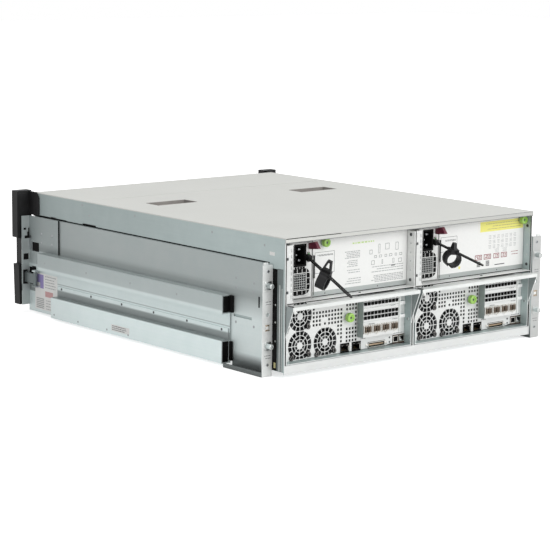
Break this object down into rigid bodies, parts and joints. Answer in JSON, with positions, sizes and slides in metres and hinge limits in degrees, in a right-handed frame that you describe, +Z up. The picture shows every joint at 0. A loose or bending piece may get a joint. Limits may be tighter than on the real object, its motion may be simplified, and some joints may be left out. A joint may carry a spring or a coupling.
{
  "type": "disk shelf enclosure",
  "caption": "Four-unit rack disk enclosure with front disk carriers, rear controller modules, power supplies and telescoping rack rails",
  "frame": {"origin": "middle of the chassis underside", "axes": "+Z up, +Y out of the rear, +X the chassis's left as seen from behind"},
  "size_m": [0.4826, 0.6641, 0.1775],
  "materials": {
    "cover_paint": "satin",
    "galvanised_sheet": "satin",
    "panel_white": "matte",
    "face_sheet": "satin",
    "rail_steel": "satin",
    "circuit_board": "satin",
    "port_metal": "satin",
    "black_plastic": "matte",
    "dark_plastic": "matte",
    "green_plastic": "gloss",
    "maroon_plastic": "satin",
    "carrier_grey": "satin"
  },
  "bodies": {
    "chassis": {"chassis_tray": "galvanised_sheet", "front_top_cover": "cover_paint", "bay_frame": "galvanised_sheet", "drive_cage": "galvanised_sheet", "midplane": "circuit_board", "rear_panel_left": "panel_white", "rear_panel_right": "panel_white", "ear_left": "black_plastic", "ear_right": "black_plastic", "rail_front_left": "rail_steel", "rail_front_right": "rail_steel"},
    "rear_cover": {"rear_top_cover": "cover_paint"},
    "panel_screw_left": {"panel_thumbscrew_left": "green_plastic"},
    "rail_slide_left": {"rail_rear_left": "rail_steel"},
    "rail_latch_left": {"rail_latch_left": "rail_steel"},
    "controller_left": {"controller_left_case": "galvanised_sheet", "controller_left_faceplate": "face_sheet", "controller_left_brackets": "face_sheet", "controller_left_fans": "dark_plastic", "controller_left_io": "port_metal"},
    "handle_left": {"controller_left_handle": "face_sheet"},
    "module_screw_left": {"controller_left_thumbscrew": "green_plastic"},
    "psu_left": {"psu_left_case": "face_sheet", "psu_left_strap": "black_plastic"},
    "psu_latch_left": {"psu_left_latch": "maroon_plastic"},
    "psu_clip_left": {"psu_left_clip": "black_plastic"},
    "panel_screw_right": {"panel_thumbscrew_right": "green_plastic"},
    "rail_slide_right": {"rail_rear_right": "rail_steel"},
    "rail_latch_right": {"rail_latch_right": "rail_steel"},
    "controller_right": {"controller_right_case": "galvanised_sheet", "controller_right_faceplate": "face_sheet", "controller_right_brackets": "face_sheet", "controller_right_fans": "dark_plastic", "controller_right_io": "port_metal"},
    "handle_right": {"controller_right_handle": "face_sheet"},
    "module_screw_right": {"controller_right_thumbscrew": "green_plastic"},
    "psu_right": {"psu_right_case": "face_sheet", "psu_right_strap": "black_plastic"},
    "psu_latch_right": {"psu_right_latch": "maroon_plastic"},
    "psu_clip_right": {"psu_right_clip": "black_plastic"},
    "carrier_01": {"disk_carrier_01": "carrier_grey"},
    "carrier_02": {"disk_carrier_02": "carrier_grey"},
    "carrier_03": {"disk_carrier_03": "carrier_grey"},
    "carrier_04": {"disk_carrier_04": "carrier_grey"},
    "carrier_05": {"disk_carrier_05": "carrier_grey"},
    "carrier_06": {"disk_carrier_06": "carrier_grey"},
    "carrier_07": {"disk_carrier_07": "carrier_grey"},
    "carrier_08": {"disk_carrier_08": "carrier_grey"},
    "carrier_09": {"disk_carrier_09": "carrier_grey"},
    "carrier_10": {"disk_carrier_10": "carrier_grey"},
    "carrier_11": {"disk_carrier_11": "carrier_grey"},
    "carrier_12": {"disk_carrier_12": "carrier_grey"},
    "carrier_13": {"disk_carrier_13": "carrier_grey"},
    "carrier_14": {"disk_carrier_14": "carrier_grey"},
    "carrier_15": {"disk_carrier_15": "carrier_grey"},
    "carrier_16": {"disk_carrier_16": "carrier_grey"},
    "carrier_17": {"disk_carrier_17": "carrier_grey"},
    "carrier_18": {"disk_carrier_18": "carrier_grey"},
    "carrier_19": {"disk_carrier_19": "carrier_grey"},
    "carrier_20": {"disk_carrier_20": "carrier_grey"}
  },
  "joints": [
    {"name": "rear_cover_slide", "type": "slide", "parent": "chassis", "child": "rear_cover", "axis": [0, 1, 0], "range_m": [0, 0.015]},
    {"name": "panel_screw_left_turn", "type": "hinge", "parent": "chassis", "child": "panel_screw_left", "pos_m": [0.1456, 0.2655, 0.1586], "axis": [0, 1, 0], "continuous": true},
    {"name": "rail_left_slide", "type": "slide", "parent": "chassis", "child": "rail_slide_left", "axis": [0, 1, 0], "range_m": [0, 0.1]},
    {"name": "rail_latch_left_swing", "type": "hinge", "parent": "chassis", "child": "rail_latch_left", "pos_m": [0.2285, -0.268, 0.047], "axis": [0, 0, 1], "range_deg": [0, 8], "stiffness_Nm_per_rad": 0.05},
    {"name": "controller_left_slide", "type": "slide", "parent": "chassis", "child": "controller_left", "axis": [0, 1, 0], "range_m": [0, 0.3]},
    {"name": "handle_left_swing", "type": "hinge", "parent": "controller_left", "child": "handle_left", "pos_m": [0.1101, 0.274, 0.046], "axis": [-1, 0, 0], "range_deg": [0, 80]},
    {"name": "module_screw_left_turn", "type": "hinge", "parent": "controller_left", "child": "module_screw_left", "pos_m": [0.105, 0.2675, 0.0586], "axis": [0, 1, 0], "continuous": true},
    {"name": "psu_left_slide", "type": "slide", "parent": "chassis", "child": "psu_left", "axis": [0, 1, 0], "range_m": [0, 0.3]},
    {"name": "psu_latch_left_press", "type": "hinge", "parent": "psu_left", "child": "psu_latch_left", "pos_m": [0.1682, 0.2633, 0.156], "axis": [0, 0, -1], "range_deg": [0, 6], "stiffness_Nm_per_rad": 0.05},
    {"name": "psu_clip_left_slide", "type": "slide", "parent": "psu_left", "child": "psu_clip_left", "axis": [0, 0.9026, -0.4305], "range_m": [-0.012, 0.014]},
    {"name": "panel_screw_right_turn", "type": "hinge", "parent": "chassis", "child": "panel_screw_right", "pos_m": [-0.2122, 0.2655, 0.1586], "axis": [0, 1, 0], "continuous": true},
    {"name": "rail_right_slide", "type": "slide", "parent": "chassis", "child": "rail_slide_right", "axis": [0, 1, 0], "range_m": [-0.025, 0.075]},
    {"name": "rail_latch_right_swing", "type": "hinge", "parent": "chassis", "child": "rail_latch_right", "pos_m": [-0.2285, -0.268, 0.047], "axis": [0, 0, -1], "range_deg": [0, 8], "stiffness_Nm_per_rad": 0.05},
    {"name": "controller_right_slide", "type": "slide", "parent": "chassis", "child": "controller_right", "axis": [0, 1, 0], "range_m": [0, 0.3]},
    {"name": "handle_right_swing", "type": "hinge", "parent": "controller_right", "child": "handle_right", "pos_m": [-0.1099, 0.274, 0.046], "axis": [-1, 0, 0], "range_deg": [0, 80]},
    {"name": "module_screw_right_turn", "type": "hinge", "parent": "controller_right", "child": "module_screw_right", "pos_m": [-0.115, 0.2675, 0.0586], "axis": [0, 1, 0], "continuous": true},
    {"name": "psu_right_slide", "type": "slide", "parent": "chassis", "child": "psu_right", "axis": [0, 1, 0], "range_m": [0, 0.3]},
    {"name": "psu_latch_right_press", "type": "hinge", "parent": "psu_right", "child": "psu_latch_right", "pos_m": [-0.0518, 0.2633, 0.156], "axis": [0, 0, -1], "range_deg": [0, 6], "stiffness_Nm_per_rad": 0.05},
    {"name": "psu_clip_right_slide", "type": "slide", "parent": "psu_right", "child": "psu_clip_right", "axis": [0, 0.9759, -0.2181], "range_m": [-0.018, 0.034]},
    {"name": "carrier_01_slide", "type": "slide", "parent": "chassis", "child": "carrier_01", "axis": [0, -1, 0], "range_m": [0, 0.15]},
    {"name": "carrier_02_slide", "type": "slide", "parent": "chassis", "child": "carrier_02", "axis": [0, -1, 0], "range_m": [0, 0.15]},
    {"name": "carrier_03_slide", "type": "slide", "parent": "chassis", "child": "carrier_03", "axis": [0, -1, 0], "range_m": [0, 0.15]},
    {"name": "carrier_04_slide", "type": "slide", "parent": "chassis", "child": "carrier_04", "axis": [0, -1, 0], "range_m": [0, 0.15]},
    {"name": "carrier_05_slide", "type": "slide", "parent": "chassis", "child": "carrier_05", "axis": [0, -1, 0], "range_m": [0, 0.15]},
    {"name": "carrier_06_slide", "type": "slide", "parent": "chassis", "child": "carrier_06", "axis": [0, -1, 0], "range_m": [0, 0.15]},
    {"name": "carrier_07_slide", "type": "slide", "parent": "chassis", "child": "carrier_07", "axis": [0, -1, 0], "range_m": [0, 0.15]},
    {"name": "carrier_08_slide", "type": "slide", "parent": "chassis", "child": "carrier_08", "axis": [0, -1, 0], "range_m": [0, 0.15]},
    {"name": "carrier_09_slide", "type": "slide", "parent": "chassis", "child": "carrier_09", "axis": [0, -1, 0], "range_m": [0, 0.15]},
    {"name": "carrier_10_slide", "type": "slide", "parent": "chassis", "child": "carrier_10", "axis": [0, -1, 0], "range_m": [0, 0.15]},
    {"name": "carrier_11_slide", "type": "slide", "parent": "chassis", "child": "carrier_11", "axis": [0, -1, 0], "range_m": [0, 0.15]},
    {"name": "carrier_12_slide", "type": "slide", "parent": "chassis", "child": "carrier_12", "axis": [0, -1, 0], "range_m": [0, 0.15]},
    {"name": "carrier_13_slide", "type": "slide", "parent": "chassis", "child": "carrier_13", "axis": [0, -1, 0], "range_m": [0, 0.15]},
    {"name": "carrier_14_slide", "type": "slide", "parent": "chassis", "child": "carrier_14", "axis": [0, -1, 0], "range_m": [0, 0.15]},
    {"name": "carrier_15_slide", "type": "slide", "parent": "chassis", "child": "carrier_15", "axis": [0, -1, 0], "range_m": [0, 0.15]},
    {"name": "carrier_16_slide", "type": "slide", "parent": "chassis", "child": "carrier_16", "axis": [0, -1, 0], "range_m": [0, 0.15]},
    {"name": "carrier_17_slide", "type": "slide", "parent": "chassis", "child": "carrier_17", "axis": [0, -1, 0], "range_m": [0, 0.15]},
    {"name": "carrier_18_slide", "type": "slide", "parent": "chassis", "child": "carrier_18", "axis": [0, -1, 0], "range_m": [0, 0.15]},
    {"name": "carrier_19_slide", "type": "slide", "parent": "chassis", "child": "carrier_19", "axis": [0, -1, 0], "range_m": [0, 0.15]},
    {"name": "carrier_20_slide", "type": "slide", "parent": "chassis", "child": "carrier_20", "axis": [0, -1, 0], "range_m": [0, 0.15]}
  ]
}
